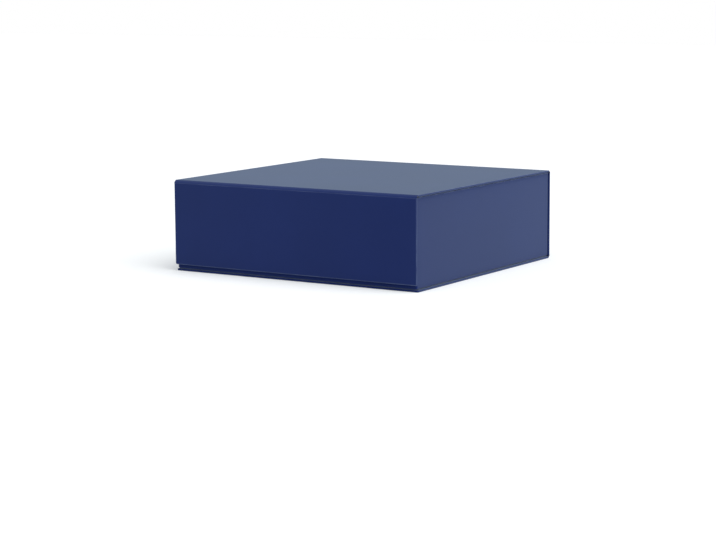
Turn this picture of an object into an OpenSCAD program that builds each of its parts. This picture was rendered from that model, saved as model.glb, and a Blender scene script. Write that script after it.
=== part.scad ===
// Clamshell book box: a wrapped case of four boards that folds round a rigid tray, closed by a magnetic front flap.
// Origin at the centre of the underside. X runs across, Y from the flap to the spine, Z up. The box is closed.

/* [Case] */
// Width of the lid, flap, spine and base
case_w = 330; // [240:1:420]
// Depth of the closed box, from the flap's face to the spine's face
case_d = 313; // [220:1:400]
// Height of the closed box
case_h = 107; // [70:1:160]
// Thickness of the greyboard in the case
board_t = 2; // [1.5:0.1:2.6]
// Distance from a folded corner of the case to the board beside it
joint_setback = 3.6; // [3.6:0.1:6]
// Height of the flap's lower edge above the table
flap_foot = 7.7; // [5:0.1:25]
// Radius of the case's free corners
corner_r = 1.6; // [0.8:0.1:5]

/* [Papers] */
// Thickness of the covering paper
cover_t = 0.2; // [0.15:0.01:0.3]
// Width of the covering paper turned in over a board's inner face
turn_in = 15; // [10:0.5:20]
// Width of the open seam where turned-in paper is mitred at a corner
mitre_gap = 0.3; // [0.1:0.05:0.6]
// Thickness of the lining paper
lining_t = 0.15; // [0.1:0.01:0.2]
// Covering paper left in view round the case linings
lining_margin = 4; // [2:0.5:8]
// Height of the lid lining's tail, glued down behind the tray
tail_h = 20; // [12:1:40]

/* [Tray] */
// Thickness of the greyboard in the tray
tray_board_t = 2; // [1.5:0.1:2.6]
// Distance that the case stands out past each side of the tray
side_overhang = 1.5; // [0.5:0.1:4]
// Width of the tray's covering paper turned in under its floor
floor_turn_in = 15; // [10:0.5:30]
// Depth of the tray's covering paper turned in over the rim
rim_turn_in = 20; // [12:0.5:30]
// Covering paper left in view below the rim, inside the tray
rim_band = 5; // [3:0.5:10]
// Width of each wing of a corner stay
stay_w = 12; // [8:0.5:20]
// Thickness of the corner stays
stay_t = 0.1; // [0.06:0.01:0.12]

/* [Magnetic closure] */
// Diameter of the flap's magnets
magnet_d = 15; // [8:0.5:20]
// Thickness of the flap's magnets
magnet_t = 1.4; // [1:0.1:1.4]
// Diameter of the steel keepers in the tray's front wall
keeper_d = 18; // [10:0.5:22]
// Thickness of the steel keepers
keeper_t = 0.8; // [0.5:0.1:1.2]
// Distance of each magnet's centre from the box's centre line
magnet_x = 108; // [60:1:112]
// Height of the magnets' centres above the flap's lower edge
magnet_rise = 20; // [17:0.5:30]

/* [Clearances] */
// Gap between the flap's lining and the tray's front
flap_gap = 0.3; // [0.2:0.05:1]
// Gap between the lid's lining and the tray's rim
rim_gap = 0.25; // [0.2:0.05:1]
// Gap round a magnet or a keeper in its pocket
pocket_gap = 0.15; // [0.1:0.05:0.4]

/* [Hidden] */
$fn = 48;

// How far a cut runs on past the face that it opens
cut_past = 1;

navy = [0.12, 0.18, 0.38];
lining_navy = [0.10, 0.13, 0.24];
greyboard = [0.62, 0.60, 0.56];
stay_paper = [0.80, 0.74, 0.60];
steel = [0.70, 0.71, 0.73];
nickel = [0.78, 0.77, 0.74];

// A wrapped board: the board with covering paper on both faces
panel_t = board_t + 2 * cover_t;
half_w = case_w / 2;
front = -case_d / 2;
back = case_d / 2;

// The paper that bridges a joint lies at 45 degrees, and these are its thicknesses measured along Y or Z
bridge_cover = cover_t * sqrt(2);
bridge_full = (cover_t + lining_t) * sqrt(2);

// The tray's outer faces, with its covering paper on
tray_half_w = half_w - side_overhang;
tray_front = front + panel_t + lining_t + flap_gap;
tray_back = back - panel_t;
tray_bottom = panel_t;
tray_rim = case_h - panel_t - lining_t - rim_gap;

// The tray's boards, inside its covering paper
wall_half_w = tray_half_w - cover_t;
wall_front = tray_front + cover_t;
wall_back = tray_back - cover_t;
wall_bottom = tray_bottom + cover_t;
wall_top = tray_rim - cover_t;
floor_top = wall_bottom + tray_board_t;

// Lengths of the case panels, from the free edge or the first joint to the next joint
lid_front = front + joint_setback;
lid_back = back - joint_setback;
flap_top = case_h - joint_setback;
magnet_z = flap_foot + magnet_rise;

// Outline of a panel with a free edge at y = 0, whose corners are round, and a joint edge at y = length
module panel_outline(length, radius, inset) {
    w = half_w - inset;
    r = radius - inset;
    translate([-w, inset + r]) square([2 * w, length - inset - r]);
    translate([-w + r, inset]) square([2 * (w - r), 2 * r]);
    for (side = [-1, 1]) translate([side * (w - r), inset + r]) circle(r);
}

// Outline of the part of such a panel that its turned-in paper leaves bare
module bare_outline(length, border) {
    translate([border - half_w, border]) square([case_w - 2 * border, length - border]);
}

// Seams of the mitred corners, from the round of each free corner to the turned-in paper's inner edge
module mitre_seams(radius) {
    for (side = [-1, 1])
        translate([side * (half_w - radius), radius])
            rotate(90 + side * 45) translate([0, -mitre_gap / 2]) square([turn_in * sqrt(2), mitre_gap]);
}

// Covering paper round a panel's free edges: outer face at z = 0, turned in at z = panel_t
module wrapped_edges(length, radius) {
    linear_extrude(panel_t) difference() {
        panel_outline(length, radius, 0);
        panel_outline(length + cut_past, radius, cover_t);
    }
    translate([0, 0, panel_t - cover_t]) linear_extrude(cover_t) difference() {
        panel_outline(length, radius, 0);
        bare_outline(length + cut_past, turn_in);
        mitre_seams(radius);
    }
}

// Covering paper round a panel's two sides alone, between two joints
module wrapped_sides(length) {
    for (side = [-1, 1]) {
        translate([side > 0 ? half_w - cover_t : -half_w, 0, 0]) cube([cover_t, length, panel_t]);
        translate([side > 0 ? half_w - turn_in : -half_w, 0, panel_t - cover_t])
            cube([turn_in, length, cover_t]);
    }
}

// Lays a shape drawn flat, outer face down, as the flap: free edge down, outer face to the front
module as_flap() {
    translate([0, front, flap_foot]) mirror([0, 1, 0]) rotate([90, 0, 0]) children();
}

// Lays a shape drawn flat, outer face down, as the lid: first edge to the front, outer face up
module as_lid() {
    translate([0, lid_front, case_h]) mirror([0, 0, 1]) children();
}

// Lays a shape drawn flat, outer face down, as the base: free edge to the front
module as_base() {
    translate([0, tray_front, 0]) children();
}

// Lays a shape drawn flat, outer face down, as the spine: outer face to the back
module as_spine() {
    translate([0, back, joint_setback]) rotate([90, 0, 0]) children();
}

// Extrudes a profile drawn in Y and Z across the box, as wide as twice half_width
module across(half_width) {
    translate([-half_width, 0, 0]) rotate([90, 0, 90]) linear_extrude(2 * half_width) children();
}

// Points of a profile at a top corner of the case, as distances in from that corner and down from the top
function at_front(p) = [front + p[0], case_h - p[1]];
function at_back(p) = [back - p[0], case_h - p[1]];

// Middle of a joint's bridge, at a depth measured as the bridge's thicknesses are
function mid_bridge(depth) = [(joint_setback + depth) / 2, (joint_setback + depth) / 2];

// Magnet or keeper discs on both sides of the centre line, from the plane y towards the back
module disc_pair(diameter, thickness, y) {
    for (side = [-1, 1])
        translate([side * magnet_x, y + thickness, magnet_z])
            rotate([90, 0, 0]) cylinder(d = diameter, h = thickness);
}

// Rectangular tube round the tray's axis, between two insets from the tray's outer faces
module tray_ring(outer_inset, inner_inset, bottom, top) {
    difference() {
        tray_block(outer_inset, bottom, top);
        tray_block(inner_inset, bottom - cut_past, top + cut_past);
    }
}

module tray_block(inset, bottom, top) {
    translate([inset - tray_half_w, tray_front + inset, bottom])
        cube([2 * (tray_half_w - inset), tray_back - tray_front - 2 * inset, top - bottom]);
}

// Greyboard under the tray, inside its covering paper
module base_board() {
    color(greyboard) as_base() translate([0, 0, cover_t])
        linear_extrude(board_t) panel_outline(lid_back - tray_front, corner_r, cover_t);
}

// Greyboard behind the tray
module spine_board() {
    color(greyboard) as_spine() translate([cover_t - half_w, 0, cover_t])
        cube([case_w - 2 * cover_t, flap_top - joint_setback, board_t]);
}

// Covering paper of the base. It and the spine's are one sheet, joined at the lower back edge
module base_cover() {
    base_length = lid_back - tray_front;
    color(navy) as_base() union() {
        linear_extrude(cover_t) panel_outline(base_length, corner_r, 0);
        wrapped_edges(base_length, corner_r);
    }
}

// Covering paper of the spine, with the bridge to the base
module spine_cover() {
    color(navy) union() {
        as_spine() wrapped_sides(flap_top - joint_setback);
        across(half_w) polygon([
            [lid_back, 0],
            [back, joint_setback],
            [back, flap_top],
            [back - cover_t, flap_top],
            [back - cover_t, joint_setback],
            [back - bridge_cover, joint_setback],
            [lid_back, bridge_cover]
        ]);
    }
}

// The end of the lid's lining, folded over the spine board's edge and glued down behind the tray
module lining_tail() {
    face = panel_t - cover_t;
    lip = bridge_full + lining_t + pocket_gap;
    color(lining_navy) across(half_w - turn_in - lining_margin) polygon([
        at_back([face, joint_setback]),
        at_back([lip, joint_setback]),
        at_back([lip, joint_setback - lining_t]),
        at_back([face + lining_t, joint_setback - lining_t]),
        at_back([face + lining_t, joint_setback + tail_h]),
        at_back([face, joint_setback + tail_h])
    ]);
}

// Floor board of the tray, held between its four walls
module tray_floor() {
    color(greyboard) tray_block(cover_t + tray_board_t, wall_bottom, floor_top);
}

module tray_front_wall() {
    color(greyboard) difference() {
        translate([tray_board_t - wall_half_w, wall_front, wall_bottom])
            cube([2 * (wall_half_w - tray_board_t), tray_board_t, wall_top - wall_bottom]);
        disc_pair(keeper_d + 2 * pocket_gap, keeper_t, wall_front);
    }
}

module tray_back_wall() {
    color(greyboard) translate([tray_board_t - wall_half_w, wall_back - tray_board_t, wall_bottom])
        cube([2 * (wall_half_w - tray_board_t), tray_board_t, wall_top - wall_bottom]);
}

// Side wall of the tray, which runs past the ends of the front and back walls
module tray_side_wall() {
    translate([wall_half_w - tray_board_t, wall_front, wall_bottom])
        cube([tray_board_t, wall_back - wall_front, wall_top - wall_bottom]);
}

module tray_left_wall() {
    color(greyboard) mirror([1, 0, 0]) tray_side_wall();
}

module tray_right_wall() {
    color(greyboard) tray_side_wall();
}

// Paper stays that hold the tray's four corners together, folded round their outsides under the cover
module tray_corner_stays() {
    reach = stay_w + cover_t;
    color(stay_paper) intersection() {
        tray_ring(cover_t - stay_t, cover_t, wall_bottom, wall_top);
        for (x = [-1, 1], y = [tray_front, tray_back])
            translate([x * tray_half_w - reach, y - reach, wall_bottom])
                cube([2 * reach, 2 * reach, wall_top - wall_bottom]);
    }
}

// Seams of the mitred corners under the tray, from the wall boards' inner corners inwards
module tray_mitre_seams() {
    start = cover_t + tray_board_t;
    for (x = [-1, 1], y = [-1, 1])
        translate([x * (tray_half_w - start), y > 0 ? tray_back - start : tray_front + start, tray_bottom - cut_past])
            rotate(-y * (90 + x * 45)) translate([0, -mitre_gap / 2, 0])
                cube([floor_turn_in * sqrt(2), mitre_gap, cut_past + cover_t]);
}

// Covering paper round the tray's walls, turned in over the rim and under the floor
module tray_cover() {
    inside = cover_t + tray_board_t;
    color(navy) difference() {
        union() {
            tray_ring(0, cover_t, tray_bottom, tray_rim);
            tray_ring(0, floor_turn_in, tray_bottom, wall_bottom);
            tray_ring(0, inside + cover_t, wall_top, tray_rim);
            tray_ring(inside, inside + cover_t, tray_rim - rim_turn_in, tray_rim);
        }
        tray_corner_stays();
        tray_mitre_seams();
    }
}

// Lining paper round the inside of the tray's walls, lapped over the cover's turned-in edge
module tray_wall_lining() {
    inside = cover_t + tray_board_t;
    lining_face = inside + cover_t + lining_t;
    color(lining_navy) union() {
        tray_ring(inside, lining_face, floor_top, tray_rim - rim_turn_in);
        tray_ring(inside + cover_t, lining_face, tray_rim - rim_turn_in, tray_rim - rim_band);
    }
}

module tray_floor_lining() {
    lining_face = 2 * cover_t + tray_board_t + lining_t;
    color(lining_navy) tray_block(lining_face, floor_top, floor_top + lining_t);
}

// Steel discs let into the outside of the tray's front wall, for the flap's magnets to hold
module front_wall_keepers() {
    color(steel) disc_pair(keeper_d, keeper_t, wall_front);
}

module lid_board() {
    color(greyboard) as_lid() translate([cover_t - half_w, 0, cover_t])
        cube([case_w - 2 * cover_t, lid_back - lid_front, board_t]);
}

// Covering paper of the lid, with the whole bridge to the spine and half the bridge to the flap
module lid_cover() {
    color(navy) union() {
        as_lid() wrapped_sides(lid_back - lid_front);
        across(half_w) polygon([
            at_front(mid_bridge(0)),
            at_front([joint_setback, 0]),
            at_back([joint_setback, 0]),
            at_back([0, joint_setback]),
            at_back([bridge_cover, joint_setback]),
            at_back([joint_setback, bridge_cover]),
            at_back([joint_setback, cover_t]),
            at_front([joint_setback, cover_t]),
            at_front([joint_setback, bridge_cover]),
            at_front(mid_bridge(bridge_cover))
        ]);
    }
}

// Lining paper of the lid, folded over the board's edges at both joints and glued to the bridges
module lid_lining() {
    face = panel_t + lining_t;
    lip = joint_setback - lining_t;
    color(lining_navy) union() {
        across(half_w - lining_margin) polygon([
            at_front([joint_setback, panel_t]),
            at_front([joint_setback, bridge_cover]),
            at_front(mid_bridge(bridge_cover)),
            at_front(mid_bridge(bridge_full)),
            at_front([lip, bridge_full + lining_t]),
            at_front([lip, face]),
            at_back([lip, face]),
            at_back([lip, bridge_full + lining_t]),
            at_back([bridge_full, joint_setback]),
            at_back([bridge_cover, joint_setback]),
            at_back([joint_setback, bridge_cover]),
            at_back([joint_setback, panel_t])
        ]);
        as_lid() translate([turn_in - half_w, 0, panel_t - cover_t])
            cube([case_w - 2 * turn_in, lid_back - lid_front, cover_t]);
    }
}

module flap_board() {
    color(greyboard) difference() {
        as_flap() translate([0, 0, cover_t])
            linear_extrude(board_t) panel_outline(flap_top - flap_foot, corner_r, cover_t);
        disc_pair(magnet_d + 2 * pocket_gap, magnet_t, front + panel_t - cover_t - magnet_t);
    }
}

// Covering paper of the flap, with half the bridge to the lid
module flap_cover() {
    flap_length = flap_top - flap_foot;
    color(navy) union() {
        as_flap() linear_extrude(cover_t) panel_outline(flap_length, corner_r, 0);
        as_flap() wrapped_edges(flap_length, corner_r);
        across(half_w) polygon([
            at_front([0, joint_setback]),
            at_front(mid_bridge(0)),
            at_front(mid_bridge(bridge_cover)),
            at_front([bridge_cover, joint_setback]),
            at_front([cover_t, joint_setback]),
            at_front([cover_t, joint_setback + cover_t]),
            at_front([0, joint_setback + cover_t])
        ]);
    }
}

// Lining paper of the flap, folded over the board's upper edge and glued to the bridge
module flap_lining() {
    face = panel_t + lining_t;
    lip = joint_setback - lining_t;
    foot = case_h - flap_foot - lining_margin;
    color(lining_navy) union() {
        across(half_w - lining_margin) polygon([
            at_front([panel_t, joint_setback]),
            at_front([bridge_cover, joint_setback]),
            at_front(mid_bridge(bridge_cover)),
            at_front(mid_bridge(bridge_full)),
            at_front([bridge_full + lining_t, lip]),
            at_front([face, lip]),
            at_front([face, foot]),
            at_front([panel_t, foot])
        ]);
        as_flap() translate([0, 0, panel_t - cover_t])
            linear_extrude(cover_t) bare_outline(flap_top - flap_foot, turn_in);
    }
}

// Disc magnets let into the inside of the flap's board
module flap_magnets() {
    color(nickel) disc_pair(magnet_d, magnet_t, front + panel_t - cover_t - magnet_t);
}

base_board();
base_cover();
spine_board();
spine_cover();
lining_tail();
tray_floor();
tray_front_wall();
tray_back_wall();
tray_left_wall();
tray_right_wall();
tray_corner_stays();
tray_cover();
tray_wall_lining();
tray_floor_lining();
front_wall_keepers();
lid_board();
lid_cover();
lid_lining();
flap_board();
flap_cover();
flap_lining();
flap_magnets();
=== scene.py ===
"""The looks of a clamshell book box: covering paper folded round boards, hinged at the spine and the flap.

Every length is in metres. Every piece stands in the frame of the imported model, with the box closed: X runs
across the box, Y from the flap to the spine, and Z up.
"""

import logging
import math
from collections.abc import Callable
from dataclasses import dataclass
from enum import Enum

import bmesh
import bpy
from bmesh.types import BMEdge, BMesh, BMFace, BMVert
from mathutils import Matrix, Vector


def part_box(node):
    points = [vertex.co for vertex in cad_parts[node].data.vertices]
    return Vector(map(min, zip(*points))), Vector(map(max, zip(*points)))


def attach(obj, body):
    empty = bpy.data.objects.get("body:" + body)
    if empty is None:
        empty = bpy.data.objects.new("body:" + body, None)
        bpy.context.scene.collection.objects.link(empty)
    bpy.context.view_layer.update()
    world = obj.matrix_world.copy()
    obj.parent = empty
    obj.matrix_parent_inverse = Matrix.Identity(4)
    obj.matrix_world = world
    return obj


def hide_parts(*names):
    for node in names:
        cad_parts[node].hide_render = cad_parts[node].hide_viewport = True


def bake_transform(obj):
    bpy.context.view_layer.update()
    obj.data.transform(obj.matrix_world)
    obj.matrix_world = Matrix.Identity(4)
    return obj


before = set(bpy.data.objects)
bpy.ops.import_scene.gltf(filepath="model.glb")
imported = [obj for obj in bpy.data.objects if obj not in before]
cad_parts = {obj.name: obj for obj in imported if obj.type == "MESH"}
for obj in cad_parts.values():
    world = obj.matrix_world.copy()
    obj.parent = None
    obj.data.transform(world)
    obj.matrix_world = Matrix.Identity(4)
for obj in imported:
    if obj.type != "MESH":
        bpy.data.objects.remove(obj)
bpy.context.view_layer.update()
LOG = logging.getLogger("book_box")
MM = 0.001

# The attribute that is 1 where a fold or an arris wears and takes a painted highlight, and 0 elsewhere
ARRIS = "arris"

# Two places that are nearer than this count as one
SAME_PLACE = 1e-6
# A face whose normal has more than this along an axis faces along it, if only roughly
ROUGHLY_ALONG = 0.9
# A face whose normal has more than this along an axis lies flat across it
FLAT_ACROSS = 0.99
# Faces that meet at more than this are shaded with a sharp edge between them
SHARP_ANGLE = math.radians(50)


class Body(Enum):
    """The bodies that the box's joints move."""

    TRAY = "tray"
    LID = "lid"
    FLAP = "flap"


class Slot(Enum):
    """The record's material slots."""

    COVER = "covering_paper"
    LINING = "lining_paper"
    BOARD = "greyboard"
    STAY = "stay_paper"
    KEEPER = "keeper_steel"
    MAGNET = "magnet_plating"


# The CAD nodes that are kept as they are, by the finish that they wear
KEPT_NODES: dict[Slot, tuple[str, ...]] = {
    Slot.BOARD: ("base_board", "spine_board", "tray_floor", "lid_board", "flap_board"),
    Slot.LINING: ("lining_tail", "tray_wall_lining", "tray_floor_lining"),
    Slot.KEEPER: ("front_wall_keepers",),
    Slot.MAGNET: ("flap_magnets",),
}


class NodeSketch:
    """Adds and links the nodes of one tree."""

    def __init__(self, tree: bpy.types.NodeTree) -> None:
        """Starts on an empty tree."""
        self.tree = tree
        tree.nodes.clear()

    def add(self, kind: str, **settings: object) -> bpy.types.Node:
        """Adds a node.

        Args:
            kind: The node's type, such as ShaderNodeMix.
            settings: Values of the node's own properties.

        Returns:
            The new node.
        """
        node = self.tree.nodes.new(kind)
        for name, value in settings.items():
            setattr(node, name, value)
        return node

    def feed(self, source: object, target: bpy.types.NodeSocket) -> None:
        """Gives a socket its value.

        Args:
            source: A socket, which is linked, or a constant, which is set.
            target: The socket that takes it.
        """
        if isinstance(source, bpy.types.NodeSocket):
            self.tree.links.new(source, target)
        else:
            target.default_value = source

    def maths(self, operation: str, *values: object, clamp: bool = False) -> bpy.types.NodeSocket:
        """Adds a Math node.

        Args:
            operation: What it works out, such as MULTIPLY.
            values: What it works on, as sockets or constants.
            clamp: Whether its result is kept between 0 and 1.

        Returns:
            The socket with its result.
        """
        node = self.add("ShaderNodeMath", operation=operation, use_clamp=clamp)
        for value, target in zip(values, node.inputs):
            self.feed(value, target)
        return node.outputs["Value"]

    def noise(self, vector: object, scale: object, detail: float, roughness: float) -> bpy.types.NodeSocket:
        """Adds a Noise Texture.

        Args:
            vector: The coordinates that it is read at.
            scale: How many of its waves there are to a metre.
            detail: How many finer layers it has.
            roughness: How strong each finer layer is.

        Returns:
            The socket with its value.
        """
        node = self.add("ShaderNodeTexNoise")
        self.feed(vector, node.inputs["Vector"])
        self.feed(scale, node.inputs["Scale"])
        node.inputs["Detail"].default_value = detail
        node.inputs["Roughness"].default_value = roughness
        return node.outputs["Fac"]

    def spread(self, value: object, low: float, high: float,
               start: float, end: float) -> bpy.types.NodeSocket:
        """Maps one range smoothly on to another.

        Args:
            value: The value to map.
            low: The result at start and below.
            high: The result at end and above.
            start: Where the value's range begins.
            end: Where the value's range ends.

        Returns:
            The socket with the result.
        """
        node = self.add("ShaderNodeMapRange", interpolation_type="SMOOTHSTEP")
        self.feed(value, node.inputs["Value"])
        self.feed(start, node.inputs["From Min"])
        self.feed(end, node.inputs["From Max"])
        self.feed(low, node.inputs["To Min"])
        self.feed(high, node.inputs["To Max"])
        return node.outputs["Result"]

    def blend(self, factor: object, first: object, second: object) -> bpy.types.NodeSocket:
        """Mixes two colours.

        Args:
            factor: The second colour's share.
            first: The first colour.
            second: The second colour.

        Returns:
            The socket with the mixture.
        """
        node = self.add("ShaderNodeMix", data_type="RGBA")
        self.feed(factor, node.inputs["Factor"])
        first_socket, second_socket = (s for s in node.inputs if s.type == "RGBA")
        self.feed(first, first_socket)
        self.feed(second, second_socket)
        return next(s for s in node.outputs if s.type == "RGBA")


class NodeGroups:
    """The surface effects that several papers share, each built once."""

    def __init__(self) -> None:
        """Builds the groups."""
        self.fibre = self._paper_fibre()
        self.wear_and_highlight = self._worn_and_highlighted_arris()

    @staticmethod
    def _group(name: str, inputs: dict[str, str], outputs: dict[str, str]) -> bpy.types.NodeTree:
        """Makes an empty shader group.

        Args:
            name: The group's name.
            inputs: The names and types of the sockets that it takes values from.
            outputs: The names and types of the sockets that it gives values to.

        Returns:
            The group.
        """
        group = bpy.data.node_groups.new(name, "ShaderNodeTree")
        for label, kind in inputs.items():
            group.interface.new_socket(label, in_out="INPUT", socket_type=kind)
        for label, kind in outputs.items():
            group.interface.new_socket(label, in_out="OUTPUT", socket_type=kind)
        return group

    def _paper_fibre(self) -> bpy.types.NodeTree:
        """Felted fibres: a fine height, and a slow mottle of the tone.

        Returns:
            The group.
        """
        grain = (1.0, 0.28, 0.6)
        fine_share, strand_share = 0.6, 0.4
        group = self._group(
            "paper_fibre",
            {"Vector": "NodeSocketVector", "Fibre Scale": "NodeSocketFloat",
             "Mottle Scale": "NodeSocketFloat"},
            {"Height": "NodeSocketFloat", "Mottle": "NodeSocketFloat"},
        )
        sketch = NodeSketch(group)
        given = sketch.add("NodeGroupInput").outputs
        made = sketch.add("NodeGroupOutput").inputs
        fine = sketch.noise(given["Vector"], given["Fibre Scale"], detail=3.0, roughness=0.6)
        stretched = sketch.add("ShaderNodeVectorMath", operation="MULTIPLY")
        sketch.feed(given["Vector"], stretched.inputs[0])
        stretched.inputs[1].default_value = grain
        strands = sketch.noise(stretched.outputs["Vector"], given["Fibre Scale"], detail=2.0, roughness=0.55)
        height = sketch.maths("ADD", sketch.maths("MULTIPLY", fine, fine_share),
                              sketch.maths("MULTIPLY", strands, strand_share))
        mottle = sketch.noise(given["Vector"], given["Mottle Scale"], detail=4.0, roughness=0.55)
        sketch.feed(height, made["Height"])
        sketch.feed(mottle, made["Mottle"])
        return group

    def _worn_and_highlighted_arris(self) -> bpy.types.NodeTree:
        """A broken line of wear and painted highlight along folds and arrises.

        Returns:
            The group.
        """
        patch_scale = 60.0
        narrowing = 2.5
        group = self._group(
            "worn_and_highlighted_arris",
            {"Vector": "NodeSocketVector", "Arris": "NodeSocketFloat", "Amount": "NodeSocketFloat"},
            {"Wear And Highlight": "NodeSocketFloat"},
        )
        sketch = NodeSketch(group)
        given = sketch.add("NodeGroupInput").outputs
        made = sketch.add("NodeGroupOutput").inputs
        cloud = sketch.noise(given["Vector"], patch_scale, detail=3.0, roughness=0.5)
        patches = sketch.spread(cloud, low=0.55, high=1.0, start=0.4, end=0.65)
        # The arris line lightens the paper: part real wear, part painted highlight where the rounded arrises
        # catch light
        line = sketch.maths("POWER", given["Arris"], narrowing)
        broken = sketch.maths("MULTIPLY", line, patches)
        sketch.feed(sketch.maths("MULTIPLY", broken, given["Amount"], clamp=True), made["Wear And Highlight"])
        return group


@dataclass(frozen=True)
class PaperFinish:
    """A paper or a board: its tone, its sheen, and how its folds wear and take a painted highlight."""

    slot: Slot
    name: str
    colour: tuple[float, float, float]
    deep_colour: tuple[float, float, float]
    # The colour along folds and arrises: partly real wear, partly a painted highlight
    worn_and_highlight_colour: tuple[float, float, float]
    roughness: float
    roughness_swing: float
    specular: float
    fibre_scale: float
    fibre_depth: float
    fibre_strength: float = 0.35
    mottle_scale: float = 9.0
    # How strongly folds and arrises take the worn colour with its painted highlight
    wear_and_highlight: float = 0.0
    rub_roughening: float = 0.15
    sheen: float = 0.0
    sheen_roughness: float = 0.5
    sheen_tint: tuple[float, float, float] = (1.0, 1.0, 1.0)

    def material(self, groups: NodeGroups) -> bpy.types.Material:
        """Builds the material.

        Args:
            groups: The shared surface effects.

        Returns:
            The finished material.
        """
        material = bpy.data.materials.new(self.name)
        material.use_nodes = True
        sketch = NodeSketch(material.node_tree)
        place = sketch.add("ShaderNodeTexCoord").outputs["Object"]
        fibre = sketch.add("ShaderNodeGroup", node_tree=groups.fibre)
        sketch.feed(place, fibre.inputs["Vector"])
        fibre.inputs["Fibre Scale"].default_value = self.fibre_scale
        fibre.inputs["Mottle Scale"].default_value = self.mottle_scale
        wear_and_highlight = sketch.add("ShaderNodeGroup", node_tree=groups.wear_and_highlight)
        sketch.feed(place, wear_and_highlight.inputs["Vector"])
        arris = sketch.add("ShaderNodeAttribute", attribute_type="GEOMETRY", attribute_name=ARRIS)
        sketch.feed(arris.outputs["Fac"], wear_and_highlight.inputs["Arris"])
        wear_and_highlight.inputs["Amount"].default_value = self.wear_and_highlight
        depth = sketch.spread(fibre.outputs["Mottle"], low=0.0, high=1.0, start=0.3, end=0.7)
        tone = sketch.blend(depth, (*self.colour, 1.0), (*self.deep_colour, 1.0))
        # Wear and a painted highlight along the arrises, mixed into the tone
        worn_and_highlit = sketch.blend(wear_and_highlight.outputs["Wear And Highlight"], tone, (*self.worn_and_highlight_colour, 1.0))
        shader = sketch.add("ShaderNodeBsdfPrincipled")
        shader.inputs["Specular IOR Level"].default_value = self.specular
        shader.inputs["Sheen Weight"].default_value = self.sheen
        shader.inputs["Sheen Roughness"].default_value = self.sheen_roughness
        shader.inputs["Sheen Tint"].default_value = (*self.sheen_tint, 1.0)
        sketch.feed(worn_and_highlit, shader.inputs["Base Color"])
        sketch.feed(self._dullness(sketch, fibre, wear_and_highlight), shader.inputs["Roughness"])
        bump = sketch.add("ShaderNodeBump")
        bump.inputs["Strength"].default_value = self.fibre_strength
        bump.inputs["Distance"].default_value = self.fibre_depth
        sketch.feed(fibre.outputs["Height"], bump.inputs["Height"])
        sketch.feed(bump.outputs["Normal"], shader.inputs["Normal"])
        out = sketch.add("ShaderNodeOutputMaterial")
        sketch.feed(shader.outputs["BSDF"], out.inputs["Surface"])
        return material

    def _dullness(self, sketch: NodeSketch, fibre: bpy.types.Node,
                  wear_and_highlight: bpy.types.Node) -> bpy.types.NodeSocket:
        """Works out how rough the paper is from place to place.

        Args:
            sketch: The material's nodes.
            fibre: Its fibre group.
            wear_and_highlight: Its group of wear and painted highlight along the arrises.

        Returns:
            The socket with the roughness.
        """
        swing = sketch.spread(fibre.outputs["Mottle"], low=self.roughness - self.roughness_swing,
                              high=self.roughness + self.roughness_swing, start=0.3, end=0.7)
        return sketch.maths("ADD", swing, sketch.maths("MULTIPLY", wear_and_highlight.outputs["Wear And Highlight"], self.rub_roughening))


@dataclass(frozen=True)
class MetalFinish:
    """A plated metal disc, finely brushed."""

    slot: Slot
    name: str
    colour: tuple[float, float, float]
    roughness: float
    brush_scale: float = 900.0
    mottle_scale: float = 160.0
    dull_share: float = 0.8
    smoother_by: float = 0.08
    rougher_by: float = 0.10

    def material(self, groups: NodeGroups) -> bpy.types.Material:
        """Builds the material, with faint scratches in its sheen.

        Args:
            groups: The shared surface effects.

        Returns:
            The finished material.
        """
        material = bpy.data.materials.new(self.name)
        material.use_nodes = True
        sketch = NodeSketch(material.node_tree)
        place = sketch.add("ShaderNodeTexCoord").outputs["Object"]
        fibre = sketch.add("ShaderNodeGroup", node_tree=groups.fibre)
        sketch.feed(place, fibre.inputs["Vector"])
        fibre.inputs["Fibre Scale"].default_value = self.brush_scale
        fibre.inputs["Mottle Scale"].default_value = self.mottle_scale
        shader = sketch.add("ShaderNodeBsdfPrincipled")
        shader.inputs["Metallic"].default_value = 1.0
        dull = tuple(self.dull_share * part for part in self.colour)
        tone = sketch.blend(fibre.outputs["Mottle"], (*self.colour, 1.0), (*dull, 1.0))
        scratches = sketch.spread(fibre.outputs["Height"], low=self.roughness - self.smoother_by,
                                  high=self.roughness + self.rougher_by, start=0.3, end=0.7)
        sketch.feed(tone, shader.inputs["Base Color"])
        sketch.feed(scratches, shader.inputs["Roughness"])
        out = sketch.add("ShaderNodeOutputMaterial")
        sketch.feed(shader.outputs["BSDF"], out.inputs["Surface"])
        return material


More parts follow.
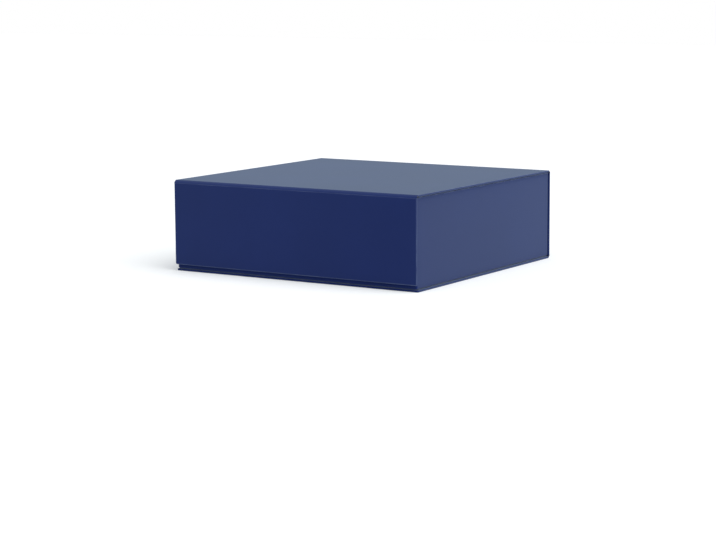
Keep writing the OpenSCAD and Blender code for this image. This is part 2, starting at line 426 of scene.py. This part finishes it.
FINISHES: tuple[PaperFinish | MetalFinish, ...] = (
    PaperFinish(
        Slot.COVER, "navy_covering_paper",
        colour=(0.0064, 0.0172, 0.1080),
        deep_colour=(0.0056, 0.0155, 0.0990),
        # The worn colour along its folds is partly a painted highlight
        worn_and_highlight_colour=(0.095, 0.125, 0.235),
        roughness=0.60, roughness_swing=0.03, specular=0.0,
        fibre_scale=2600.0, fibre_depth=0.00003, wear_and_highlight=0.60,
        sheen=0.38, sheen_roughness=0.48, sheen_tint=(0.86, 1.0, 1.0),
    ),
    PaperFinish(
        Slot.LINING, "navy_lining_paper",
        colour=(0.0110, 0.0180, 0.0600),
        deep_colour=(0.0095, 0.0155, 0.0520),
        worn_and_highlight_colour=(0.060, 0.070, 0.120),
        roughness=0.72, roughness_swing=0.03, specular=0.20,
        fibre_scale=1800.0, fibre_depth=0.00005,
    ),
    PaperFinish(
        Slot.BOARD, "raw_greyboard",
        colour=(0.340, 0.320, 0.280),
        deep_colour=(0.260, 0.245, 0.215),
        worn_and_highlight_colour=(0.400, 0.380, 0.340),
        roughness=0.88, roughness_swing=0.04, specular=0.25,
        fibre_scale=900.0, fibre_depth=0.00012,
    ),
    PaperFinish(
        Slot.STAY, "kraft_stay_paper",
        colour=(0.600, 0.510, 0.320),
        deep_colour=(0.520, 0.430, 0.260),
        worn_and_highlight_colour=(0.650, 0.560, 0.380),
        roughness=0.75, roughness_swing=0.04, specular=0.25,
        fibre_scale=1500.0, fibre_depth=0.00005,
    ),
    MetalFinish(Slot.KEEPER, "zinc_plated_steel", colour=(0.45, 0.46, 0.49), roughness=0.42),
    MetalFinish(Slot.MAGNET, "nickel_plating", colour=(0.57, 0.56, 0.51), roughness=0.28),
)


@dataclass(frozen=True)
class CaseSizes:
    """The planes and thicknesses that the case and the tray share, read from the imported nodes."""

    half_w: float
    front: float
    back: float
    top: float
    lid_front: float
    lid_back: float
    flap_top: float
    flap_foot: float
    spine_foot: float
    base_front: float
    panel_t: float
    paper_t: float
    lining_t: float

    @property
    def hinge_depth(self) -> float:
        """How far behind a sharp corner the inner side of a hinge's papers lies, along Y or Z."""
        return (2 * self.paper_t + self.lining_t) * math.sqrt(2)

    @classmethod
    def from_frame(cls) -> "CaseSizes":
        """Reads the sizes from the frame's own nodes.

        Returns:
            The sizes.
        """
        lid_low, lid_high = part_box("lid_board")
        cover_low, cover_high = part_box("lid_cover")
        flap_low, flap_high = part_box("flap_cover")
        board_low, board_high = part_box("flap_board")
        spine_low, spine_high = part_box("spine_board")
        base_low, base_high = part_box("base_cover")
        floor_low, floor_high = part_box("tray_floor_lining")
        return cls(
            half_w=cover_high.x, front=flap_low.y, back=cover_high.y, top=cover_high.z,
            lid_front=lid_low.y, lid_back=lid_high.y, flap_top=board_high.z, flap_foot=flap_low.z,
            spine_foot=spine_low.z, base_front=base_low.y, panel_t=base_high.z - base_low.z,
            paper_t=cover_high.z - lid_high.z, lining_t=floor_high.z - floor_low.z,
        )


class Bindery:
    """Turns finished meshes into pieces that ride on the frame's bodies."""

    def __init__(self, materials: dict[Slot, bpy.types.Material]) -> None:
        """Keeps the materials that pieces are dressed with."""
        self.materials = materials

    def _object(self, bm: BMesh, name: str, slot: Slot) -> bpy.types.Object:
        """Makes a piece's object, with smooth folds between flat faces.

        Args:
            bm: The piece's mesh, in place. It is freed.
            name: The piece's name.
            slot: The material slot of its finish.

        Returns:
            The object.
        """
        mesh = bpy.data.meshes.new(name)
        bm.to_mesh(mesh)
        bm.free()
        mesh.set_sharp_from_angle(angle=SHARP_ANGLE)
        mesh.materials.append(self.materials[slot])
        piece = bpy.data.objects.new(name, mesh)
        bpy.context.scene.collection.objects.link(piece)
        normals = piece.modifiers.new("even_normals", "WEIGHTED_NORMAL")
        normals.keep_sharp = True
        return piece

    def glue(self, bm: BMesh, name: str, slot: Slot, body: Body,
             replaces: tuple[str, ...] = ()) -> bpy.types.Object:
        """Fixes a piece to one body.

        Args:
            bm: The piece's mesh, in place. It is freed.
            name: The piece's name.
            slot: The material slot of its finish.
            body: The body that it moves with.
            replaces: The CAD nodes that it stands for.

        Returns:
            The piece.
        """
        piece = self._object(bm, name, slot)
        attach(piece, body.value)
        if replaces:
            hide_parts(*replaces)
        LOG.info("%s rides on %s", name, body.value)
        return piece

    def hinge(self, bm: BMesh, name: str, slot: Slot, bodies: tuple[Body, Body],
              start: Vector, end: Vector) -> bpy.types.Object:
        """Makes a piece for the joint between two bodies; it stays as it stands with the box closed and
        follows neither body.

        Args:
            bm: The piece's mesh, in place. It is freed.
            name: The piece's name.
            slot: The material slot of its finish.
            bodies: The bodies at its start and its end, which are only logged.
            start: Not used.
            end: Not used.

        Returns:
            The piece.
        """
        piece = self._object(bm, name, slot)
        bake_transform(piece)
        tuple(start)
        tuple(end)
        LOG.info("%s bends between %s and %s", name, bodies[0].value, bodies[1].value)
        return piece

    def dress(self, node: str, slot: Slot) -> None:
        """Gives a CAD node that is kept its finish.

        Args:
            node: The node's name.
            slot: The material slot of its finish.
        """
        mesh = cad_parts[node].data
        mesh.materials.clear()
        mesh.materials.append(self.materials[slot])
        LOG.info("%s wears %s", node, slot.value)


def round_edges(bm: BMesh, edges: list[BMEdge], radius: float, segments: int) -> None:
    """Rounds edges of a mesh.

    Args:
        bm: The mesh.
        edges: The edges to round.
        radius: How far from the edge its rounding starts.
        segments: How many faces the rounding has.
    """
    bmesh.ops.bevel(bm, geom=edges, offset=radius, affect="EDGES", segments=segments, profile=0.5,
                    material=-1)


def block(low: Vector, high: Vector) -> BMesh:
    """Makes a plain block.

    Args:
        low: Its lowest corner.
        high: Its highest corner.

    Returns:
        The block's mesh.
    """
    bm = bmesh.new()
    bmesh.ops.create_cube(bm, size=1.0)
    bmesh.ops.scale(bm, vec=high - low, verts=bm.verts[:])
    bmesh.ops.translate(bm, vec=(low + high) / 2, verts=bm.verts[:])
    bm.normal_update()
    return bm


def turns_level(edge: BMEdge) -> bool:
    """Tells whether an upright face meets a level one at an edge.

    Args:
        edge: The edge.

    Returns:
        Whether it is such an edge.
    """
    if len(edge.link_faces) != 2:
        return False
    steepness = [abs(face.normal.z) for face in edge.link_faces]
    return abs(steepness[0] - steepness[1]) > ROUGHLY_ALONG


def mark_arrises(bm: BMesh, flats: list[BMFace], width: float, worn_and_highlit: Callable[[Vector], bool]) -> None:
    """Insets flat faces and marks the worn part of what surrounds their middles as arris, which also takes a
    painted highlight.

    Args:
        bm: The mesh.
        flats: The flat faces of paper.
        width: How far the wear of an arris reaches on to the flat.
        worn_and_highlit: Tells whether hands and shelves touch the paper at a place, where it also takes a
            painted highlight.
    """
    bmesh.ops.inset_individual(bm, faces=flats, thickness=width, depth=0.0, use_even_offset=True)
    layer = bm.verts.layers.float.new(ARRIS)
    # Marked places take wear and a painted highlight
    for vert in bm.verts:
        vert[layer] = 1.0 if worn_and_highlit(vert.co) else 0.0
    for face in flats:
        for vert in face.verts:
            vert[layer] = 0.0


def thicken(bm: BMesh, thickness: float) -> None:
    """Gives a sheet its thickness, behind the side that its faces show."""
    bmesh.ops.solidify(bm, geom=bm.faces[:], thickness=thickness)
    bmesh.ops.recalc_face_normals(bm, faces=bm.faces[:])


@dataclass
class WrappedPanel:
    """Covering paper round one board: its outer face, its free edges and the border turned in behind.

    It is drawn flat, with its outer face at z = 0, its first edge at y = 0 and its last edge at y = length.
    The last edge is a joint, where no paper is turned in, and so is the first unless the corners are rounded.
    """

    half_w: float
    length: float
    thickness: float
    paper_t: float
    turn_in: float = 15 * MM
    corner_r: float = 0.0
    corner_segments: int = 6
    fold_r: float = 0.62 * MM
    fold_segments: int = 4
    # How far round the fold, and how far on to the flat, the wear and painted highlight reach
    fold_wear_and_highlight: float = 0.7
    wear_and_highlight_w: float = 0.8 * MM

    def mesh(self) -> BMesh:
        """Folds the paper round the board's edges.

        Returns:
            The paper's mesh.
        """
        bm = block(Vector((-self.half_w, 0.0, 0.0)), Vector((self.half_w, self.length, self.thickness)))
        if self.corner_r:
            corners = [e for e in bm.edges if all(v.co.y < self.length / 2 for v in e.verts)
                       and abs(e.verts[0].co.z - e.verts[1].co.z) > self.thickness / 2]
            round_edges(bm, corners, self.corner_r, self.corner_segments)
        joints = [f for f in bm.faces if f.normal.y > ROUGHLY_ALONG
                  or (f.normal.y < -ROUGHLY_ALONG and not self.corner_r)]
        bmesh.ops.delete(bm, geom=joints, context="FACES_ONLY")
        bm.normal_update()
        round_edges(bm, [e for e in bm.edges if turns_level(e)], self.fold_r, self.fold_segments)
        bm.normal_update()
        self._open_back(bm)
        outer = [f for f in bm.faces if f.normal.z < -FLAT_ACROSS]
        # The outer arrises are marked for wear and a painted highlight
        mark_arrises(bm, outer, self.wear_and_highlight_w, lambda place: place.z < self.fold_wear_and_highlight * self.fold_r)
        thicken(bm, self.paper_t)
        return bm

    def _open_back(self, bm: BMesh) -> None:
        """Takes away the middle of the inner face, which the turned-in border leaves bare.

        Args:
            bm: The paper's mesh.
        """
        reach = self.half_w - self.turn_in
        first = self.turn_in if self.corner_r else 0.0
        cuts = [((reach, 0, 0), (1, 0, 0)), ((-reach, 0, 0), (1, 0, 0))]
        if first:
            cuts.append(((0, first, 0), (0, 1, 0)))
        for point, normal in cuts:
            inner = [f for f in bm.faces if f.normal.z > FLAT_ACROSS]
            parts = {v for f in inner for v in f.verts} | {e for f in inner for e in f.edges} | set(inner)
            bmesh.ops.bisect_plane(bm, geom=list(parts), plane_co=point, plane_no=normal)
            bm.normal_update()
        bare = [f for f in bm.faces if f.normal.z > FLAT_ACROSS and abs(f.calc_center_median().x) < reach
                and f.calc_center_median().y > first]
        bmesh.ops.delete(bm, geom=bare, context="FACES")


@dataclass
class FoldedStrip:
    """A strip of paper as wide as the box, folded along lines that run across it.

    The profile is the shown side of the paper, as (y, z) points, and outward is where its longest stretch
    faces. A strip that bends in use has a profile of two points, and its middle stands out from the line
    between them.
    """

    profile: tuple[tuple[float, float], ...]
    outward: tuple[float, float]
    half_w: float
    thickness: float
    bend_cuts: int = 0
    bulge: float = 0.0

    def _fold_line(self) -> list[tuple[float, float]]:
        """Follows the profile, and the bulge of a strip that bends.

        Returns:
            The points that the paper passes through, as (y, z).
        """
        if not self.bend_cuts:
            return list(self.profile)
        start, end = (Vector(point) for point in self.profile)
        out = Vector(self.outward).normalized()
        shares = [step / (self.bend_cuts + 1) for step in range(self.bend_cuts + 2)]
        return [tuple(start.lerp(end, t) + out * self.bulge * 4 * t * (1 - t)) for t in shares]

    def mesh(self) -> BMesh:
        """Sweeps the profile across the box and gives the paper its thickness.

        Returns:
            The strip's mesh.
        """
        bm = bmesh.new()
        chain = [bm.verts.new((-self.half_w, y, z)) for y, z in self._fold_line()]
        edges = [bm.edges.new(pair) for pair in zip(chain, chain[1:])]
        swept = bmesh.ops.extrude_edge_only(bm, edges=edges)["geom"]
        far_side = [v for v in swept if isinstance(v, BMVert)]
        bmesh.ops.translate(bm, vec=(2 * self.half_w, 0, 0), verts=far_side)
        bmesh.ops.recalc_face_normals(bm, faces=bm.faces[:])
        longest = max(bm.faces, key=lambda face: face.calc_area())
        if longest.normal.dot(Vector((0.0, *self.outward))) < 0:
            bmesh.ops.reverse_faces(bm, faces=bm.faces[:])
        layer = bm.verts.layers.float.new(ARRIS)
        # The fold lines at a bending strip's ends take wear and a painted highlight
        ends = {self.profile[0], self.profile[-1]} if self.bend_cuts else set()
        for vert in bm.verts:
            on_fold = any(abs(vert.co.y - y) + abs(vert.co.z - z) < SAME_PLACE for y, z in ends)
            vert[layer] = 1.0 if on_fold else 0.0
        thicken(bm, self.thickness)
        return bm


@dataclass
class Lid:
    """The lid's covering paper and lining."""

    sizes: CaseSizes
    lining_margin: float = 4 * MM

    def build(self, bindery: Bindery) -> None:
        """Makes and fixes the lid's papers.

        Args:
            bindery: Where they are fixed.
        """
        s = self.sizes
        bm = WrappedPanel(s.half_w, s.lid_back - s.lid_front, s.panel_t, s.paper_t).mesh()
        lay = Matrix.Translation((0, s.lid_front, s.top)) @ Matrix.Scale(-1, 4, (0, 0, 1))
        bmesh.ops.transform(bm, matrix=lay, verts=bm.verts[:])
        bmesh.ops.recalc_face_normals(bm, faces=bm.faces[:])
        bindery.glue(bm, "lid_paper", Slot.COVER, Body.LID, ("lid_cover",))
        bindery.glue(self.lining().mesh(), "lid_lining_paper", Slot.LINING, Body.LID, ("lid_lining",))

    def lining(self) -> FoldedStrip:
        """The lining: flat under the board, with a lip up the board's edge at each joint.

        Returns:
            The folded lining.
        """
        s = self.sizes
        face = s.top - s.panel_t - s.lining_t
        lip = s.top - s.hinge_depth
        front, back = s.lid_front - s.lining_t, s.lid_back + s.lining_t
        return FoldedStrip(((front, lip), (front, face), (back, face), (back, lip)), (0, -1),
                           s.half_w - self.lining_margin, s.lining_t)


@dataclass
class Flap:
    """The front flap's covering paper and lining."""

    sizes: CaseSizes
    corner_r: float = 1.6 * MM
    lining_margin: float = 4 * MM

    def build(self, bindery: Bindery) -> None:
        """Makes and fixes the flap's papers.

        Args:
            bindery: Where they are fixed.
        """
        s = self.sizes
        panel = WrappedPanel(s.half_w, s.flap_top - s.flap_foot, s.panel_t, s.paper_t, corner_r=self.corner_r)
        bm = panel.mesh()
        upright = Matrix.Rotation(math.radians(90), 4, "X")
        stand = Matrix.Translation((0, s.front, s.flap_foot)) @ Matrix.Scale(-1, 4, (0, 1, 0)) @ upright
        bmesh.ops.transform(bm, matrix=stand, verts=bm.verts[:])
        bmesh.ops.recalc_face_normals(bm, faces=bm.faces[:])
        bindery.glue(bm, "flap_paper", Slot.COVER, Body.FLAP, ("flap_cover",))
        bindery.glue(self.lining().mesh(), "flap_lining_paper", Slot.LINING, Body.FLAP, ("flap_lining",))

    def lining(self) -> FoldedStrip:
        """The lining: flat behind the board, with a lip over the board's upper edge.

        Returns:
            The folded lining.
        """
        s = self.sizes
        face = s.front + s.panel_t + s.lining_t
        foot, head = s.flap_foot + self.lining_margin, s.flap_top + s.lining_t
        return FoldedStrip(((face, foot), (face, head), (s.front + s.hinge_depth, head)), (1, 0),
                           s.half_w - self.lining_margin, s.lining_t)


@dataclass
class SpineAndBase:
    """The covering paper of the spine and the base, which are folded once and stay on the tray."""

    sizes: CaseSizes
    corner_r: float = 1.6 * MM

    def build(self, bindery: Bindery) -> None:
        """Makes and fixes the papers behind and under the tray.

        Args:
            bindery: Where they are fixed.
        """
        s = self.sizes
        bm = WrappedPanel(s.half_w, s.flap_top - s.spine_foot, s.panel_t, s.paper_t).mesh()
        stand = Matrix.Translation((0, s.back, s.spine_foot)) @ Matrix.Rotation(math.radians(90), 4, "X")
        bmesh.ops.transform(bm, matrix=stand, verts=bm.verts[:])
        bindery.glue(bm, "spine_paper", Slot.COVER, Body.TRAY, ("spine_cover",))
        base = WrappedPanel(s.half_w, s.lid_back - s.base_front, s.panel_t, s.paper_t, corner_r=self.corner_r)
        bm = base.mesh()
        bmesh.ops.transform(bm, matrix=Matrix.Translation((0, s.base_front, 0)), verts=bm.verts[:])
        bindery.glue(bm, "base_paper", Slot.COVER, Body.TRAY, ("base_cover",))


@dataclass
class PaperJoints:
    """The strips of paper that bridge the case's joints at 45 degrees, lined behind the two that move."""

    sizes: CaseSizes
    bend_cuts: int = 9
    bulge: float = 0.45 * MM
    lining_margin: float = 4 * MM

    def build(self, bindery: Bindery) -> None:
        """Makes the front and back hinges and the fold under the spine.

        Args:
            bindery: Where the papers are fixed.
        """
        s = self.sizes
        lid_front, flap = (s.lid_front, s.top), (s.front, s.flap_top)
        spine, lid_back = (s.back, s.flap_top), (s.lid_back, s.top)
        base, spine_foot = (s.lid_back, 0.0), (s.back, s.spine_foot)
        self._hinge(bindery, "front_hinge", (lid_front, flap), (-1, 1), (Body.LID, Body.FLAP))
        self._hinge(bindery, "back_hinge", (spine, lid_back), (1, 1), (Body.TRAY, Body.LID))
        fold = FoldedStrip((base, spine_foot), (1, -1), s.half_w, 2 * s.paper_t)
        bindery.glue(fold.mesh(), "under_fold_paper", Slot.COVER, Body.TRAY)

    def _hinge(self, bindery: Bindery, name: str, span: tuple[tuple[float, float], tuple[float, float]],
               outward: tuple[int, int], bodies: tuple[Body, Body]) -> None:
        """Makes both papers of one hinge.

        Args:
            bindery: Where the papers are fixed.
            name: What the hinge is called.
            span: The fold lines where the bridge of paper starts and ends, as (y, z).
            outward: Where the bridge's outer side faces, along Y and Z.
            bodies: The bodies at its start and its end.
        """
        s = self.sizes
        start, end = (Vector((0, *point)) for point in span)
        doubled = 2 * s.paper_t
        cover = FoldedStrip(span, outward, s.half_w, doubled, self.bend_cuts, self.bulge)
        bindery.hinge(cover.mesh(), f"{name}_paper", Slot.COVER, bodies, start, end)
        inward = -Vector(outward).normalized() * (doubled + s.lining_t)
        inner = tuple((y + inward.x, z + inward.y) for y, z in span)
        lining = FoldedStrip(inner, (-outward[0], -outward[1]), s.half_w - self.lining_margin, s.lining_t,
                             self.bend_cuts, -self.bulge)
        bindery.hinge(lining.mesh(), f"{name}_lining", Slot.LINING, bodies, start, end)


@dataclass
class Tray:
    """The tray's eased wall boards, its corner stays, and its covering paper, turned in at rim and foot."""

    sizes: CaseSizes
    corner_r: float = 1.4 * MM
    post_segments: int = 5
    rim_r: float = 0.9 * MM
    rim_segments: int = 4
    foot_r: float = 2.2 * MM
    foot_segments: int = 6
    board_segments: int = 5
    board_rim_segments: int = 3
    stay_w: float = 12 * MM
    rim_turn_in: float = 20 * MM
    floor_turn_in: float = 15 * MM
    # How far the wear and painted highlight reach on to the walls
    wear_and_highlight_w: float = 0.9 * MM

    def build(self, bindery: Bindery) -> None:
        """Makes the eased wall boards, pastes stays round their posts, and wraps them.

        Args:
            bindery: Where the pieces are fixed.
        """
        for side in ("front", "back", "left", "right"):
            self._wall_board(bindery, side)
        self._corner_stays(bindery)
        self._cover(bindery)

    def _posted_ring(self, low: Vector, high: Vector, post_r: float) -> BMesh:
        """Stands four walls of paper between two corners, open above and below, with rounded posts.

        Args:
            low: The ring's lowest corner.
            high: The ring's highest corner.
            post_r: How round the posts are.

        Returns:
            The ring's mesh.
        """
        bm = block(low, high)
        ends = [f for f in bm.faces if abs(f.normal.z) > ROUGHLY_ALONG]
        bmesh.ops.delete(bm, geom=ends, context="FACES_ONLY")
        posts = [e for e in bm.edges if len(e.link_faces) == 2]
        round_edges(bm, posts, post_r, self.post_segments)
        return bm

    def _corner_stays(self, bindery: Bindery) -> None:
        """Pastes a strip of stay paper round each post, on the boards and behind the covering paper.

        Args:
            bindery: Where the stays are fixed.
        """
        paper = self.sizes.paper_t
        stay_t = paper / 4
        low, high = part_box("tray_corner_stays")
        low.z += self.foot_r
        high.z -= self.rim_r
        behind = Vector((paper / 2, paper / 2, 0.0))
        bm = self._posted_ring(low + behind, high - behind, self.corner_r - paper)
        for cut, across in ((low.x + self.stay_w, (1, 0, 0)), (high.x - self.stay_w, (1, 0, 0)),
                            (low.y + self.stay_w, (0, 1, 0)), (high.y - self.stay_w, (0, 1, 0))):
            bmesh.ops.bisect_plane(bm, geom=bm.verts[:] + bm.edges[:] + bm.faces[:],
                                   plane_co=Vector(across) * cut, plane_no=across)
        between = []
        for face in bm.faces:
            middle = face.calc_center_median()
            near_x = min(middle.x - low.x, high.x - middle.x) < self.stay_w
            near_y = min(middle.y - low.y, high.y - middle.y) < self.stay_w
            if not (near_x and near_y):
                between.append(face)
        bmesh.ops.delete(bm, geom=between, context="FACES")
        bmesh.ops.recalc_face_normals(bm, faces=bm.faces[:])
        thicken(bm, stay_t)
        bindery.glue(bm, "corner_stays", Slot.STAY, Body.TRAY, ("tray_corner_stays",))

    def _wall_board(self, bindery: Bindery, side: str) -> None:
        """Makes one wall's board, with its edges eased at the posts, along the foot and along the rim.

        Args:
            bindery: Where the board is fixed.
            side: Which wall it is.
        """
        low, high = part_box(f"tray_{side}_wall")
        outer_low, outer_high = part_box("tray_cover")
        paper = self.sizes.paper_t
        behind_paper = 1.5 * paper
        bm = block(low, high)

        def on_outside(vert: BMVert) -> set[str]:
            """Names the tray's outer planes that a corner of the board lies on.

            Args:
                vert: The corner.

            Returns:
                The planes' names.
            """
            planes = {"left": vert.co.x - outer_low.x, "right": outer_high.x - vert.co.x,
                      "front": vert.co.y - outer_low.y, "back": outer_high.y - vert.co.y,
                      "foot": vert.co.z - outer_low.z}
            return {name for name, depth in planes.items() if depth < behind_paper}

        outside = [e for e in bm.edges if len(on_outside(e.verts[0]) & on_outside(e.verts[1])) == 2]
        round_edges(bm, outside, self.foot_r - behind_paper, self.board_segments)
        rim = [e for e in bm.edges if all(abs(v.co.z - high.z) < SAME_PLACE for v in e.verts)]
        round_edges(bm, rim, self.rim_r - paper, self.board_rim_segments)
        bindery.glue(bm, f"{side}_wall_board", Slot.BOARD, Body.TRAY, (f"tray_{side}_wall",))

    def _cover(self, bindery: Bindery) -> None:
        """Wraps the walls in covering paper.

        Args:
            bindery: Where the paper is fixed.
        """
        low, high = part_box("tray_cover")
        middle = (low + high) / 2
        size = high - low
        bm = self._posted_ring(low, high, self.corner_r)
        self._turn(bm, high.z, size, middle, self.sizes.panel_t, 0.0)
        self._turn(bm, high.z, size, middle, 0.0, self.rim_turn_in)
        self._round_foot(bm, low.z, size, middle)
        bm.normal_update()
        rims = [e for e in bm.edges if turns_level(e)
                and all(abs(v.co.z - high.z) < SAME_PLACE for v in e.verts)]
        round_edges(bm, rims, self.rim_r, self.rim_segments)
        bmesh.ops.recalc_face_normals(bm, faces=bm.faces[:])
        # Only the four outer walls are as large as this, in square metres
        least_wall_area = 0.01
        walls = [f for f in bm.faces if abs(f.normal.z) < 1 - FLAT_ACROSS and f.calc_area() > least_wall_area]

        def worn_and_highlit(place: Vector) -> bool:
            """The posts and the rim's outer arris wear and take a painted highlight, and the foot in its
            groove takes neither.
            """
            inside = min(place.x - low.x, high.x - place.x, place.y - low.y, high.y - place.y)
            return inside < self.wear_and_highlight_w / 2 and place.z > low.z + 2 * self.foot_r

        # Marks the posts and the rim for wear and a painted highlight
        mark_arrises(bm, walls, self.wear_and_highlight_w, worn_and_highlit)
        thicken(bm, self.sizes.paper_t)
        bindery.glue(bm, "tray_paper", Slot.COVER, Body.TRAY, ("tray_cover",))

    def _round_foot(self, bm: BMesh, height: float, size: Vector, middle: Vector) -> None:
        """Rolls the paper round the foot and turns it in under the floor.

        Args:
            bm: The mesh, with its walls down to the floor.
            height: The height of the tray's underside.
            size: The size of the tray.
            middle: The middle of the tray.
        """
        loop = [v for v in bm.verts if abs(v.co.z - height) < SAME_PLACE]
        bmesh.ops.translate(bm, vec=(0, 0, self.foot_r), verts=loop)
        level, reach = height + self.foot_r, 0.0
        for step in range(1, self.foot_segments + 1):
            angle = math.radians(90 * step / self.foot_segments)
            new_level = height + self.foot_r * (1 - math.sin(angle))
            new_reach = self.foot_r * (1 - math.cos(angle))
            around = Vector((size.x - 2 * reach, size.y - 2 * reach, size.z))
            self._turn(bm, level, around, middle, new_reach - reach, level - new_level)
            level, reach = new_level, new_reach
        around = Vector((size.x - 2 * reach, size.y - 2 * reach, size.z))
        self._turn(bm, level, around, middle, self.floor_turn_in - reach, 0.0)

    @staticmethod
    def _turn(bm: BMesh, height: float, size: Vector, middle: Vector, inward: float, down: float) -> None:
        """Draws an open edge of the paper out by one more fold.

        Args:
            bm: The mesh.
            height: The height of the open edge.
            size: The size of the open edge's outline.
            middle: The middle of the tray.
            inward: How far inside that outline the new edge lies.
            down: How far below the open edge the new edge lies.
        """
        rim = [e for e in bm.edges if len(e.link_faces) == 1
               and all(abs(v.co.z - height) < SAME_PLACE for v in e.verts)]
        made = bmesh.ops.extrude_edge_only(bm, edges=rim)["geom"]
        verts = [v for v in made if isinstance(v, BMVert)]
        if inward:
            share = ((size.x - 2 * inward) / size.x, (size.y - 2 * inward) / size.y, 1.0)
            bmesh.ops.scale(bm, vec=share, space=Matrix.Translation(-middle), verts=verts)
        if down:
            bmesh.ops.translate(bm, vec=(0, 0, -down), verts=verts)


@dataclass(frozen=True)
class Lamp:
    """A broad soft light a long way off.

    Here towards is the direction from the box to the lamp, strength is its irradiance, and angle is how broad
    it looks, in degrees.
    """

    name: str
    towards: tuple[float, float, float]
    strength: float
    angle: float

    def hang(self) -> None:
        """Sets the lamp up."""
        data = bpy.data.lights.new(self.name, "SUN")
        data.energy = self.strength
        data.angle = math.radians(self.angle)
        lamp = bpy.data.objects.new(self.name, data)
        lamp.rotation_mode = "QUATERNION"
        lamp.rotation_quaternion = Vector(self.towards).to_track_quat("Z", "Y")
        bpy.context.scene.collection.objects.link(lamp)


@dataclass
class Studio:
    """The floor, the light and the camera."""

    lens: float = 103.526
    sensor: float = 36.0
    clip: tuple[float, float] = (0.05, 50.0)
    station: tuple[float, float, float] = (1.30741, -2.05312, 0.35684)
    azimuth: float = -32.713
    elevation: float = 8.504
    roll: float = -0.3746
    surround: tuple[float, float, float, float] = (0.46, 0.50, 0.52, 1.0)
    white: tuple[float, float, float, float] = (1.0, 1.0, 1.0, 1.0)
    floor_reach: float = 6.0
    floor_colour: tuple[float, float, float, float] = (0.80, 0.80, 0.80, 1.0)
    floor_roughness: float = 0.9
    floor_specular: float = 0.1
    floor_lift: float = 0.15
    lamps: tuple[Lamp, ...] = (
        Lamp("overhead_light", towards=(0.30, -0.10, 0.65), strength=2.27, angle=70.0),
        Lamp("side_light", towards=(0.80, -0.05, 0.25), strength=0.80, angle=60.0),
    )

    def camera(self) -> None:
        """Stands the camera where the photograph was taken from."""
        turn, rise, roll = (math.radians(x) for x in (self.azimuth, self.elevation, self.roll))
        ahead = Vector((math.sin(turn) * math.cos(rise), math.cos(turn) * math.cos(rise), -math.sin(rise)))
        level = Vector((math.cos(turn), -math.sin(turn), 0.0))
        upright = level.cross(ahead)
        right = level * math.cos(roll) + upright * math.sin(roll)
        up = right.cross(ahead)
        data = bpy.data.cameras.new("camera")
        data.sensor_fit = "HORIZONTAL"
        data.sensor_width = self.sensor
        data.lens = self.lens
        data.clip_start, data.clip_end = self.clip
        camera = bpy.data.objects.new("camera", data)
        facing = Matrix((right, up, -ahead)).transposed().to_4x4()
        camera.matrix_world = Matrix.Translation(self.station) @ facing
        bpy.context.scene.collection.objects.link(camera)
        bpy.context.scene.camera = camera

    def floor(self) -> None:
        """Lays a white floor that keeps the box's shadow."""
        bm = bmesh.new()
        bmesh.ops.create_grid(bm, x_segments=1, y_segments=1, size=self.floor_reach)
        mesh = bpy.data.meshes.new("floor")
        bm.to_mesh(mesh)
        bm.free()
        floor = bpy.data.objects.new("floor", mesh)
        bpy.context.scene.collection.objects.link(floor)
        material = bpy.data.materials.new("floor_white")
        material.use_nodes = True
        sketch = NodeSketch(material.node_tree)
        shader = sketch.add("ShaderNodeBsdfPrincipled")
        shader.inputs["Base Color"].default_value = self.floor_colour
        shader.inputs["Roughness"].default_value = self.floor_roughness
        shader.inputs["Specular IOR Level"].default_value = self.floor_specular
        shader.inputs["Emission Color"].default_value = self.white
        lift = sketch.maths("MULTIPLY", self.seen(sketch), self.floor_lift)
        sketch.feed(lift, shader.inputs["Emission Strength"])
        out = sketch.add("ShaderNodeOutputMaterial")
        sketch.feed(shader.outputs["BSDF"], out.inputs["Surface"])
        mesh.materials.append(material)

    def world(self) -> None:
        """Surrounds the box with soft light, white where the camera sees it."""
        world = bpy.data.worlds.new("studio")
        bpy.context.scene.world = world
        world.use_nodes = True
        sketch = NodeSketch(world.node_tree)
        background = sketch.add("ShaderNodeBackground")
        sketch.feed(sketch.blend(self.seen(sketch), self.surround, self.white), background.inputs["Color"])
        out = sketch.add("ShaderNodeOutputWorld")
        sketch.feed(background.outputs["Background"], out.inputs["Surface"])

    @staticmethod
    def seen(sketch: NodeSketch) -> bpy.types.NodeSocket:
        """Tells the rays that show a background: the camera's, and those that gloss and glass send on.

        Args:
            sketch: The nodes of the floor or the world.

        Returns:
            The socket that is 1 for those rays and 0 for the others.
        """
        path = sketch.add("ShaderNodeLightPath").outputs
        straight = sketch.maths("ADD", path["Is Camera Ray"], path["Is Glossy Ray"])
        return sketch.maths("ADD", straight, path["Is Transmission Ray"], clamp=True)

    def build(self) -> None:
        """Sets up the whole studio."""
        self.camera()
        self.floor()
        self.world()
        for lamp in self.lamps:
            lamp.hang()
        bpy.context.scene.view_settings.view_transform = "Standard"


def main() -> None:
    """Builds the box, piece by piece, and the studio round it."""
    logging.basicConfig(level=logging.INFO, format="%(name)s: %(message)s")
    groups = NodeGroups()
    bindery = Bindery({finish.slot: finish.material(groups) for finish in FINISHES})
    sizes = CaseSizes.from_frame()
    Studio().build()
    for part in (Lid(sizes), Flap(sizes), SpineAndBase(sizes), PaperJoints(sizes), Tray(sizes)):
        part.build(bindery)
    for slot, nodes in KEPT_NODES.items():
        for node in nodes:
            bindery.dress(node, slot)


if __name__ == "__main__":
    main()
